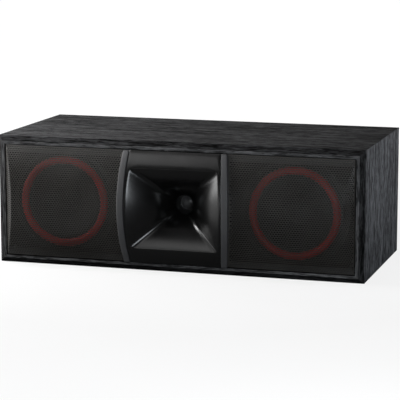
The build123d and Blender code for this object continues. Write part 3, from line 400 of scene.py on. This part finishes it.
def make_grille(side, sign):
    """A bowed perforated sheet with a slanted end facet, folded from flat rows of holes."""
    low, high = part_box(f"{side}_grille")
    middle = (low.z + high.z) / 2
    half = (high.z - low.z) / 2
    end_x = max(abs(low.x), abs(high.x))
    bar_low, bar_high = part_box(f"{side}_trim_bar")
    inner_tip = max(abs(bar_low.x), abs(bar_high.x)) + GLUE_GAP
    radius = (half * half + GRILLE_BOW ** 2) / (2 * GRILLE_BOW)
    arc_half = radius * np.arcsin(half / radius)
    slope = sqrt(1 + GRILLE_END_SLOPE ** 2)

    def rise_of(arc):
        return radius * np.sin(arc / radius)

    def first_run(arc):
        return inner_tip - arc_drop(HORN_HALF, BAR_BULGE, rise_of(arc))

    def fold_run(arc):
        return end_x - GRILLE_END_SLOPE * (GRILLE_BOW - arc_drop(half, GRILLE_BOW, rise_of(arc)))

    def last_run(arc):
        return fold_run(arc) + slope * (GRILLE_BOW - arc_drop(half, GRILLE_BOW, rise_of(arc)))

    def placed(run, arc, depth):
        """Folds a point of the flat sheet onto the bowed face and the end facet."""
        turn = arc / radius
        fold = fold_run(arc)
        past = np.maximum(run - fold, 0) / slope
        on_face = run <= fold
        x = np.minimum(run, fold) + past * GRILLE_END_SLOPE
        y = low.y + radius * (1 - np.cos(turn)) + past
        z = radius * np.sin(turn)
        back_x = np.where(on_face, 0, -1 / slope)
        back_y = np.where(on_face, np.cos(turn), GRILLE_END_SLOPE / slope)
        back_z = np.where(on_face, -np.sin(turn), 0)
        x = sign * (x + depth * back_x)
        return np.stack([x, y + depth * back_y, middle + z + depth * back_z], axis=-1)

    rows = int(arc_half / ROW_PITCH) + 2
    columns = int((end_x + GRILLE_BOW) / HOLE_PITCH) + 2
    corner_turns = np.radians(np.arange(6) * 60 + 30)
    hole_turns = np.radians(np.arange(12) * 30 + 30)
    cell_wide = HOLE_PITCH / sqrt(3)
    cell_tall = ROW_PITCH / 1.5
    spots = {}
    runs = []
    arcs = []
    holed = []
    plain = []

    def spot(run, arc):
        """Index of a point of the flat sheet, shared by the cells that meet there."""
        key = (round(run / SPOT_GRID), round(arc / SPOT_GRID))
        if key not in spots:
            spots[key] = len(runs)
            runs.append(run)
            arcs.append(arc)
        return spots[key]

    for row in range(-rows, rows + 1):
        arc = row * ROW_PITCH
        shift = HOLE_PITCH / 2 if row % 2 else 0
        near = min(abs(arc) + cell_tall, arc_half)
        first = first_run(near) - HOLE_PITCH
        last = last_run(max(abs(arc) - cell_tall, 0)) + HOLE_PITCH
        for column in range(columns):
            run = column * HOLE_PITCH + shift
            if run < first or run > last:
                continue
            ring_run = run + cell_wide * np.cos(corner_turns)
            ring_arc = arc + cell_tall * np.sin(corner_turns)
            held_arc = np.clip(ring_arc, -arc_half, arc_half)
            held_run = np.clip(ring_run, first_run(held_arc), last_run(held_arc))
            inside = np.allclose(held_arc, ring_arc) and np.allclose(held_run, ring_run)
            inside = inside and np.all(ring_run > first_run(ring_arc) + HOLE_MARGIN)
            inside = inside and np.all(ring_run < last_run(ring_arc) - HOLE_MARGIN)
            outer = [spot(a, b) for a, b in zip(held_run, held_arc)]
            if inside:
                hole_run = run + HOLE_HALF_WIDTH * np.cos(hole_turns)
                hole_arc = arc + HOLE_HALF_HEIGHT * np.sin(hole_turns)
                holed.append((outer, [spot(a, b) for a, b in zip(hole_run, hole_arc)]))
            else:
                ring = [index for at, index in enumerate(outer) if index != outer[at - 1]]
                if len(set(ring)) == len(ring) and len(ring) > 2:
                    plain.append(ring)

    faces = []
    for outer, inner in holed:
        for at in range(6):
            after = (at + 1) % 6
            faces.append((outer[at], outer[after], inner[2 * after], inner[2 * at + 1], inner[2 * at]))
    faces += [tuple(ring) for ring in plain]
    count = len(runs)
    edges = {}
    for face in faces:
        for at in range(len(face)):
            edges[(face[at], face[(at + 1) % len(face)])] = True
    rims = [edge for edge in edges if (edge[1], edge[0]) not in edges]
    back = [tuple(count + index for index in reversed(face)) for face in faces]
    rim_faces = [(b, a, count + a, count + b) for a, b in rims]
    runs = np.array(runs)
    arcs = np.array(arcs)
    points = np.concatenate([placed(runs, arcs, 0.0), placed(runs, arcs, GRILLE_SHEET)])
    faces = faces + back + rim_faces
    if sign < 0:
        faces = [tuple(reversed(face)) for face in faces]
    grille = piece(f"{side}_mesh", points, faces, f"{side}_grille_set", (f"{side}_grille",))
    smooth(grille, 35)
    return grille


# Woofer surrounds

def follow_cone(thing, centre, still_radius, moving_radius):
    """Bakes the ring's placement into its mesh and works out each point's share from the outer to the inner
    edge, unused.
    """
    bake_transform(thing)
    for vertex in thing.data.vertices:
        radius = sqrt((vertex.co.x - centre[0]) ** 2 + (vertex.co.z - centre[1]) ** 2)
        share = (still_radius - radius) / (still_radius - moving_radius)
        share = min(max(share, 0.0), 1.0)


def make_surround(side):
    """Red half roll between a black foot on the basket and a black flange on the cone."""
    low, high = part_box(f"{side}_woofer_surround")
    gasket_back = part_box(f"{side}_woofer_gasket")[1].y
    centre = ((low.x + high.x) / 2, (low.z + high.z) / 2)
    foot_radius = (high.x - low.x) / 2
    sheet = high.y - gasket_back
    roll_outer = foot_radius - SURROUND_FOOT
    roll_inner = roll_outer - ROLL_WIDTH
    roll = ROLL_WIDTH / 2
    rise = gasket_back - low.y
    turns = np.linspace(0, pi, ROLL_STEPS)
    middle = (roll_inner + roll_outer) / 2
    front = [(middle + roll * cos(t), gasket_back - rise * sin(t)) for t in turns]
    back = [(middle + (roll - sheet) * cos(t), high.y - rise * sin(t)) for t in reversed(turns)]
    profile = [(foot_radius, high.y), (foot_radius, gasket_back)]
    profile += front
    profile += [(roll_inner - GLUE_WIDTH, gasket_back), (roll_inner - GLUE_WIDTH, high.y)]
    profile += back
    points, faces = turned(profile, centre)
    ring = piece(f"{side}_surround", points, faces, None, (f"{side}_woofer_surround",))
    smooth(ring)
    follow_cone(ring, centre, roll_outer, roll_inner)
    dress(ring, LOOKS["surround_red"])
    ring.data.materials.append(LOOKS["cone_black"])
    for face in ring.data.polygons:
        radius = sqrt((face.center.x - centre[0]) ** 2 + (face.center.z - centre[1]) ** 2)
        face.material_index = 0 if roll_inner < radius < roll_outer else 1
    return ring


# Shader groups

def new_group(name, inputs, outputs):
    group = bpy.data.node_groups.new(name, "ShaderNodeTree")
    for label, kind, value in inputs:
        socket = group.interface.new_socket(label, in_out="INPUT", socket_type=kind)
        if value is not None:
            socket.default_value = value
    for label, kind in outputs:
        group.interface.new_socket(label, in_out="OUTPUT", socket_type=kind)
    return group, group.nodes.new("NodeGroupInput"), group.nodes.new("NodeGroupOutput")


def add(tree, kind, **settings):
    node = tree.nodes.new(kind)
    for key, value in settings.items():
        setattr(node, key, value)
    return node


def plug(tree, node, **links):
    """Sets or links a node's inputs by name; spaces in a name are written as underscores."""
    for key, value in links.items():
        socket = node.inputs[key.replace("_", " ")]
        if isinstance(value, bpy.types.NodeSocket):
            tree.links.new(value, socket)
        else:
            socket.default_value = value
    return node


def noise(tree, vector, scale, detail=4.0, roughness=0.55, distortion=0.0):
    node = add(tree, "ShaderNodeTexNoise")
    plug(tree, node, Vector=vector, Scale=scale, Detail=detail, Roughness=roughness, Distortion=distortion)
    return node.outputs["Fac"]


def span(tree, value, low, high, to_low=0.0, to_high=1.0):
    node = add(tree, "ShaderNodeMapRange")
    plug(tree, node, Value=value, From_Min=low, From_Max=high, To_Min=to_low, To_Max=to_high)
    return node.outputs["Result"]


def maths(tree, operation, first, second):
    node = add(tree, "ShaderNodeMath", operation=operation)
    for socket, value in zip(node.inputs, (first, second)):
        if isinstance(value, bpy.types.NodeSocket):
            tree.links.new(value, socket)
        else:
            socket.default_value = value
    return node.outputs[0]


def stretched(tree, vector, scale, turn=(0, 0, 0)):
    node = add(tree, "ShaderNodeMapping")
    plug(tree, node, Vector=vector, Scale=scale, Rotation=turn)
    return node.outputs["Vector"]


def make_oak_grain():
    """Printed oak figure running along X: broad figure, short streaks and open pores."""
    group, given, result = new_group(
        "oak_grain", [("Vector", "NodeSocketVector", None)],
        [("Streak", "NodeSocketFloat"), ("Pore", "NodeSocketFloat"), ("Height", "NodeSocketFloat")])
    vector = given.outputs["Vector"]
    broad = noise(group, stretched(group, vector, (7, 60, 60)), 1.0, 3.0, 0.5, 1.4)
    fine = noise(group, stretched(group, vector, (48, 430, 430)), 1.0, 4.0, 0.6, 0.8)
    pores = noise(group, stretched(group, vector, (70, 760, 760)), 1.0, 2.0, 0.5)
    streak = maths(group, "ADD", maths(group, "MULTIPLY", broad, 0.35), maths(group, "MULTIPLY", fine, 0.65))
    pore = span(group, pores, 0.52, 0.62)
    height = maths(group, "SUBTRACT", maths(group, "MULTIPLY", fine, 0.5), pore)
    figure = maths(group, "SUBTRACT", span(group, streak, 0.4, 0.6), maths(group, "MULTIPLY", pore, 0.45))
    group.links.new(maths(group, "MAXIMUM", figure, 0.0), result.inputs["Streak"])
    group.links.new(pore, result.inputs["Pore"])
    group.links.new(height, result.inputs["Height"])
    return group


def make_moulded_skin():
    """Fine skin of moulded plastic or sprayed paint: a slow tone and a close grain."""
    group, given, result = new_group(
        "moulded_skin",
        [("Vector", "NodeSocketVector", None), ("Grain", "NodeSocketFloat", 900.0)],
        [("Tone", "NodeSocketFloat"), ("Height", "NodeSocketFloat")])
    vector = given.outputs["Vector"]
    slow = noise(group, vector, 22.0, 3.0)
    close = noise(group, vector, given.outputs["Grain"], 2.0, 0.6)
    group.links.new(span(group, slow, 0.35, 0.65), result.inputs["Tone"])
    group.links.new(close, result.inputs["Height"])
    return group


def make_turned_metal():
    """Soft drawn streaks and mottle of plain worked metal."""
    group, given, result = new_group(
        "turned_metal", [("Vector", "NodeSocketVector", None), ("Streaks", "NodeSocketFloat", 140.0)],
        [("Tone", "NodeSocketFloat"), ("Height", "NodeSocketFloat")])
    vector = given.outputs["Vector"]
    drawn = noise(group, stretched(group, vector, (1, 0.12, 1)), given.outputs["Streaks"], 4.0, 0.6)
    mottle = noise(group, vector, 60.0, 4.0)
    tone = maths(group, "ADD", maths(group, "MULTIPLY", drawn, 0.6), maths(group, "MULTIPLY", mottle, 0.4))
    group.links.new(span(group, tone, 0.35, 0.65), result.inputs["Tone"])
    group.links.new(drawn, result.inputs["Height"])
    return group


def make_pressed_fibre():
    """Felted paper or cloth: fibres in two lengths and a slight cloudiness."""
    group, given, result = new_group(
        "pressed_fibre", [("Vector", "NodeSocketVector", None), ("Fibre", "NodeSocketFloat", 700.0)],
        [("Tone", "NodeSocketFloat"), ("Height", "NodeSocketFloat")])
    vector = given.outputs["Vector"]
    fibres = noise(group, vector, given.outputs["Fibre"], 6.0, 0.7, 1.2)
    cloud = noise(group, vector, 45.0, 3.0)
    tone = maths(group, "ADD", maths(group, "MULTIPLY", fibres, 0.6), maths(group, "MULTIPLY", cloud, 0.4))
    group.links.new(span(group, tone, 0.35, 0.65), result.inputs["Tone"])
    group.links.new(fibres, result.inputs["Height"])
    return group


OAK_GRAIN = make_oak_grain()
MOULDED_SKIN = make_moulded_skin()
TURNED_METAL = make_turned_metal()
PRESSED_FIBRE = make_pressed_fibre()


# Materials

FRONT_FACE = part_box("top_panel")[0].y
BEVEL_BACK = FRONT_FACE + BEVEL_DEPTH


def shade(value):
    """Linear value of an sRGB level from 0 to 255."""
    level = value / 255
    return level / 12.92 if level <= 0.04045 else ((level + 0.055) / 1.055) ** 2.4


def colour(red, green, blue):
    return shade(red), shade(green), shade(blue), 1.0


def new_material(name):
    material = bpy.data.materials.new(name)
    material.use_nodes = True
    tree = material.node_tree
    place = add(tree, "ShaderNodeTexCoord").outputs["Object"]
    return material, tree, tree.nodes["Principled BSDF"], place


def grouped(tree, group, vector, **values):
    node = add(tree, "ShaderNodeGroup", node_tree=group)
    plug(tree, node, Vector=vector, **values)
    return node.outputs


def between(tree, share, first, second):
    node = add(tree, "ShaderNodeMix", data_type="RGBA")
    sockets = {socket.identifier: socket for socket in node.inputs}
    for label, value in (("A_Color", first), ("B_Color", second), ("Factor_Float", share)):
        if isinstance(value, bpy.types.NodeSocket):
            tree.links.new(value, sockets[label])
        else:
            sockets[label].default_value = value
    return [socket for socket in node.outputs if socket.identifier == "Result_Color"][0]


def raised(tree, height, strength, distance):
    node = add(tree, "ShaderNodeBump")
    plug(tree, node, Height=height, Strength=strength, Distance=distance)
    return node.outputs["Normal"]


def vinyl_wrap(name, turn, dark, light):
    """Black oak-print vinyl with its grain along the panel: bevel darker by painted shade, lip lighter by
    painted highlight.
    """
    material, tree, shader, place = new_material(name)
    oak = grouped(tree, OAK_GRAIN, stretched(tree, place, (1, 1, 1), turn))
    print_tone = between(tree, oak["Streak"], dark, light)
    # Painted shade: the front bevel gets a darker tone than the rest of the print.
    bevel_painted_shade = between(tree, oak["Streak"], colour(8, 8, 8), colour(54, 54, 55))
    # Painted highlight: the flat front lip gets a lighter tone, as if its edge caught light from above.
    lip_painted_highlight = between(tree, oak["Streak"], colour(40, 40, 40), colour(96, 96, 97))
    depth = add(tree, "ShaderNodeSeparateXYZ")
    plug(tree, depth, Vector=place)
    painted_shade_mask = span(tree, depth.outputs["Y"], BEVEL_BACK, BEVEL_BACK - PAINTED_SHADE_FADE)
    painted_highlight_mask = span(tree, depth.outputs["Y"], FRONT_FACE + PAINTED_HIGHLIGHT_FADE_START, FRONT_FACE + PAINTED_HIGHLIGHT_FADE_END)
    painted_shade_and_highlight = between(tree, painted_highlight_mask, bevel_painted_shade, lip_painted_highlight)
    rough = span(tree, oak["Pore"], 0, 1, 0.66, 0.78)
    plug(tree, shader, Base_Color=between(tree, painted_shade_mask, print_tone, painted_shade_and_highlight), Roughness=rough,
         Specular_IOR_Level=0.01, Normal=raised(tree, oak["Height"], 0.35, 0.15 * MM))
    return material


def moulded(name, dark, light, roughness, grain, bump, specular=0.5):
    """Moulded plastic, rubber or sprayed paint."""
    material, tree, shader, place = new_material(name)
    skin = grouped(tree, MOULDED_SKIN, place, Grain=grain)
    rough = span(tree, skin["Tone"], 0, 1, roughness * 0.92, roughness * 1.08)
    plug(tree, shader, Base_Color=between(tree, skin["Tone"], dark, light), Roughness=rough,
         Specular_IOR_Level=specular, Normal=raised(tree, skin["Height"], bump, 0.1 * MM))
    return material


def metal(name, dark, light, roughness, streaks):
    """Bare or plated metal with soft drawn streaks."""
    material, tree, shader, place = new_material(name)
    worked = grouped(tree, TURNED_METAL, place, Streaks=streaks)
    rough = span(tree, worked["Tone"], 0, 1, roughness * 0.85, roughness * 1.15)
    plug(tree, shader, Base_Color=between(tree, worked["Tone"], dark, light), Roughness=rough, Metallic=1.0,
         Normal=raised(tree, worked["Height"], 0.1, 0.1 * MM))
    return material


def fibrous(name, dark, light, roughness, fibre, bump=0.3, specular=0.3):
    """Felted board, paper, foam or cloth."""
    material, tree, shader, place = new_material(name)
    felt = grouped(tree, PRESSED_FIBRE, place, Fibre=fibre)
    plug(tree, shader, Base_Color=between(tree, felt["Tone"], dark, light), Roughness=roughness,
         Specular_IOR_Level=specular, Normal=raised(tree, felt["Height"], bump, 0.15 * MM))
    return material


def wound_copper():
    """Enamelled copper wire laid in close turns around the coil's axis along Y."""
    material, tree, shader, place = new_material("wound_copper")
    wave = add(tree, "ShaderNodeTexWave", bands_direction="Y")
    plug(tree, wave, Vector=place, Scale=380.0, Distortion=0.4)
    wire = wave.outputs["Fac"]
    plug(tree, shader, Base_Color=between(tree, wire, colour(92, 40, 18), colour(196, 112, 62)),
         Roughness=0.32, Metallic=1.0, Normal=raised(tree, wire, 0.5, 0.2 * MM))
    return material


VINYL_LONG = vinyl_wrap("vinyl_long", (0, 0, 0), colour(14, 14, 14), colour(80, 80, 81))
VINYL_UPRIGHT = vinyl_wrap("vinyl_upright", (0, pi / 2, 0), colour(16, 16, 17), colour(96, 97, 100))

# Moulded and painted finishes: dark tone, light tone, roughness, grain, bump, specular level
MOULDED_LOOKS = {
    "grille_steel": ((43, 41, 38), (51, 49, 46), 0.42, 1400.0, 0.1, 0.4),
    "trim_grey": ((62, 62, 63), (68, 68, 69), 0.5, 1200.0, 0.1, 0.35),
    "horn_black": ((8, 8, 8), (11, 11, 11), 0.22, 700.0, 0.02, 0.48),
    "black_plastic": ((20, 20, 20), (30, 30, 30), 0.5, 1000.0, 0.3),
    "basket_steel": ((10, 10, 10), (17, 17, 17), 0.6, 800.0, 0.25, 0.3),
    "surround_red": ((132, 12, 7), (152, 17, 10), 0.5, 900.0, 0.15, 0.3),
    "magnet_ferrite": ((34, 34, 36), (52, 52, 54), 0.7, 500.0, 0.35, 0.35),
    "nut_red": ((132, 10, 12), (164, 18, 18), 0.34, 800.0, 0.1),
    "nut_black": ((14, 14, 14), (24, 24, 24), 0.34, 800.0, 0.1),
    "capacitor_film": ((170, 148, 70), (196, 174, 92), 0.3, 600.0, 0.08),
    "resistor_ceramic": ((196, 192, 180), (222, 218, 206), 0.7, 900.0, 0.3),
    "lead_sleeve": ((24, 24, 25), (40, 40, 42), 0.45, 700.0, 0.1),
}

# Board, paper, foam and cloth: dark tone, light tone, roughness, fibre, bump, specular level
FIBROUS_LOOKS = {
    "inner_board": ((9, 9, 9), (16, 15, 15), 0.85, 420.0),
    "cone_black": ((10, 10, 10), (20, 20, 20), 0.7, 700.0, 0.35),
    "gasket_foam": ((9, 9, 9), (16, 16, 16), 0.9, 900.0, 0.4),
    "spider_cloth": ((150, 122, 72), (186, 158, 102), 0.85, 1100.0, 0.5),
    "dome_cloth": ((54, 54, 54), (74, 74, 74), 0.3, 900.0, 0.1, 0.6),
    "board_fibre": ((20, 74, 40), (34, 98, 56), 0.45, 500.0, 0.1),
    "tag_fibre": ((106, 70, 40), (140, 98, 60), 0.6, 600.0, 0.2),
}

# Metals: dark tone, light tone, roughness, streaks
METAL_LOOKS = {
    "motor_steel": ((122, 122, 118), (164, 163, 158), 0.34, 140.0),
    "screw_steel": ((30, 30, 31), (58, 58, 60), 0.36, 300.0),
    "post_brass": ((176, 132, 56), (214, 176, 94), 0.24, 260.0),
}

LOOKS = {"cabinet_vinyl": VINYL_LONG, "coil_copper": wound_copper()}
for maker, looks in ((moulded, MOULDED_LOOKS), (fibrous, FIBROUS_LOOKS), (metal, METAL_LOOKS)):
    for name, (dark, light, *finish) in looks.items():
        LOOKS[name] = maker(name, colour(*dark), colour(*light), *finish)

BACK_BOARD = fibrous("back_board", colour(24, 24, 24), colour(36, 36, 36), 0.7, 420.0)
OWN_LOOKS = {"left_side_panel": VINYL_UPRIGHT, "right_side_panel": VINYL_UPRIGHT, "back_panel": BACK_BOARD}


def node_slots():
    """Material slot of each node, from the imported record."""
    return {part["node"]: part["material_slot"] for part in frame["record"]["subparts"]}


def dress_frame():
    for name, slot in node_slots().items():
        dress(frame["nodes"][name], OWN_LOOKS.get(name, LOOKS[slot]))


def build_pieces():
    for thing in (make_horn(), make_throat_flange()):
        dress(thing, LOOKS["horn_black"])
    for side, sign in (("left", -1), ("right", 1)):
        for thing, slot in ((make_trim_bar(side, sign), "trim_grey"),
                            (make_grille(side, sign), "grille_steel")):
            dress(thing, LOOKS[slot])
        make_surround(side)


# Stage, light and camera

def aim(thing, target):
    thing.rotation_euler = (Vector(target) - thing.location).to_track_quat("-Z", "Y").to_euler()


def seen_rays(tree, mirrored_share):
    """1 for rays that see the backdrop itself; mirrors see it by the share that stands where they look."""
    path = add(tree, "ShaderNodeLightPath")
    direct = maths(tree, "MAXIMUM", path.outputs["Is Camera Ray"], path.outputs["Is Transmission Ray"])
    mirrored = maths(tree, "MULTIPLY", path.outputs["Is Glossy Ray"], mirrored_share)
    return maths(tree, "MAXIMUM", direct, mirrored)


def sweep_share(tree, vector, reach):
    """How far mirrors see the white sweep: it hangs behind the speaker and to its left; the front is dark."""
    axes = add(tree, "ShaderNodeSeparateXYZ")
    plug(tree, axes, Vector=vector)
    back = span(tree, axes.outputs["Y"], 0.0, reach, 0.0, BACK_SWEEP)
    left = span(tree, axes.outputs["X"], -0.5 * reach, -reach, 0.0, LEFT_SWEEP)
    return maths(tree, "MAXIMUM", back, left)


def make_floor():
    """Pale paper that looks white, greyer close to the speaker by painted shade, and keeps its shadow."""
    points = [(x * FLOOR_HALF, y * FLOOR_HALF, 0) for x, y in ((-1, -1), (1, -1), (1, 1), (-1, 1))]
    mesh = bpy.data.meshes.new("floor")
    mesh.from_pydata(points, [], [(0, 1, 2, 3)])
    floor = bpy.data.objects.new("floor", mesh)
    bpy.context.scene.collection.objects.link(floor)
    material, tree, shader, place = new_material("floor_paper")
    tone = noise(tree, place, 3.0)
    away = add(tree, "ShaderNodeVectorMath", operation="LENGTH")
    plug(tree, away, Vector=place)
    # Painted shade: the paper's glow is dimmer close to the speaker.
    glow_with_painted_shade = span(tree, away.outputs["Value"], 0.5, 1.6, 0.82, 1.0)
    paper = between(tree, tone, (0.1, 0.1, 0.1, 1), (0.12, 0.12, 0.12, 1))
    seen = seen_rays(tree, sweep_share(tree, place, FLOOR_SWEEP_REACH))
    plug(tree, shader, Base_Color=paper, Roughness=0.9, Specular_IOR_Level=0.0, Emission_Color=(1, 1, 1, 1),
         Emission_Strength=maths(tree, "MULTIPLY", seen, glow_with_painted_shade))
    mesh.materials.append(material)
    return floor


def softbox(name, azimuth, elevation, distance, size, power, tint=(1, 1, 1)):
    """A soft lamp at an angle around the speaker, azimuth 0 in front and positive to the right."""
    light = bpy.data.lights.new(name, "AREA")
    light.shape = "RECTANGLE"
    light.size, light.size_y = size
    light.energy = power
    light.color = tint
    lamp = bpy.data.objects.new(name, light)
    bpy.context.scene.collection.objects.link(lamp)
    turn = radians(azimuth)
    rise = radians(elevation)
    middle = Vector((0, 0, (CAD_BOX[0].z + CAD_BOX[1].z) / 2))
    lamp.location = middle + distance * Vector((sin(turn) * cos(rise), -cos(turn) * cos(rise), sin(rise)))
    aim(lamp, middle)
    lamp.visible_camera = False
    return lamp


def make_world():
    world = bpy.data.worlds.new("studio")
    world.use_nodes = True
    tree = world.node_tree
    background = tree.nodes["Background"]
    looking = add(tree, "ShaderNodeTexCoord").outputs["Generated"]
    seen = seen_rays(tree, sweep_share(tree, looking, SKY_SWEEP_REACH))
    strength = span(tree, seen, 0, 1, SKY_FILL, 1.0)
    plug(tree, background, Color=(1, 1, 1, 1), Strength=strength)
    bpy.context.scene.world = world


def make_camera():
    data = bpy.data.cameras.new("photo_camera")
    data.lens = CAMERA_LENS
    data.sensor_width = CAMERA_SENSOR
    camera = bpy.data.objects.new("photo_camera", data)
    bpy.context.scene.collection.objects.link(camera)
    camera.location = CAMERA_PLACE
    back = Vector((sin(CAMERA_AZIMUTH) * cos(CAMERA_ELEVATION), -cos(CAMERA_AZIMUTH) * cos(CAMERA_ELEVATION),
                   sin(CAMERA_ELEVATION)))
    camera.rotation_euler = (-back).to_track_quat("-Z", "Y").to_euler()
    bpy.context.scene.camera = camera


dress_frame()
build_pieces()
make_floor()
softbox("key_softbox", -71, 37, 0.88, (0.44, 0.35), 10.6)
softbox("back_softbox", -140, 55, 1.4, (1.0, 0.1), 2.5)
softbox("side_softbox", 90, 8, 0.53, (0.3, 0.06), 0.62, (0.92, 0.96, 1.0))
softbox("left_panel", -86, 9, 1.7, (1.3, 0.72), 17)
softbox("right_panel", 26, 6, 1.25, (0.4, 0.42), 5.0, (0.88, 0.94, 1.0))
softbox("margin_panel", -28, 30, 2.5, (0.9, 0.5), 3.3)
softbox("lip_panel", -17, 49, 2.5, (1.0, 0.42), 2.6)
softbox("rear_fill", 178, 0, 1.6, (0.9, 0.16), 10)
make_world()
make_camera()
bpy.context.scene.view_settings.view_transform = "Standard"
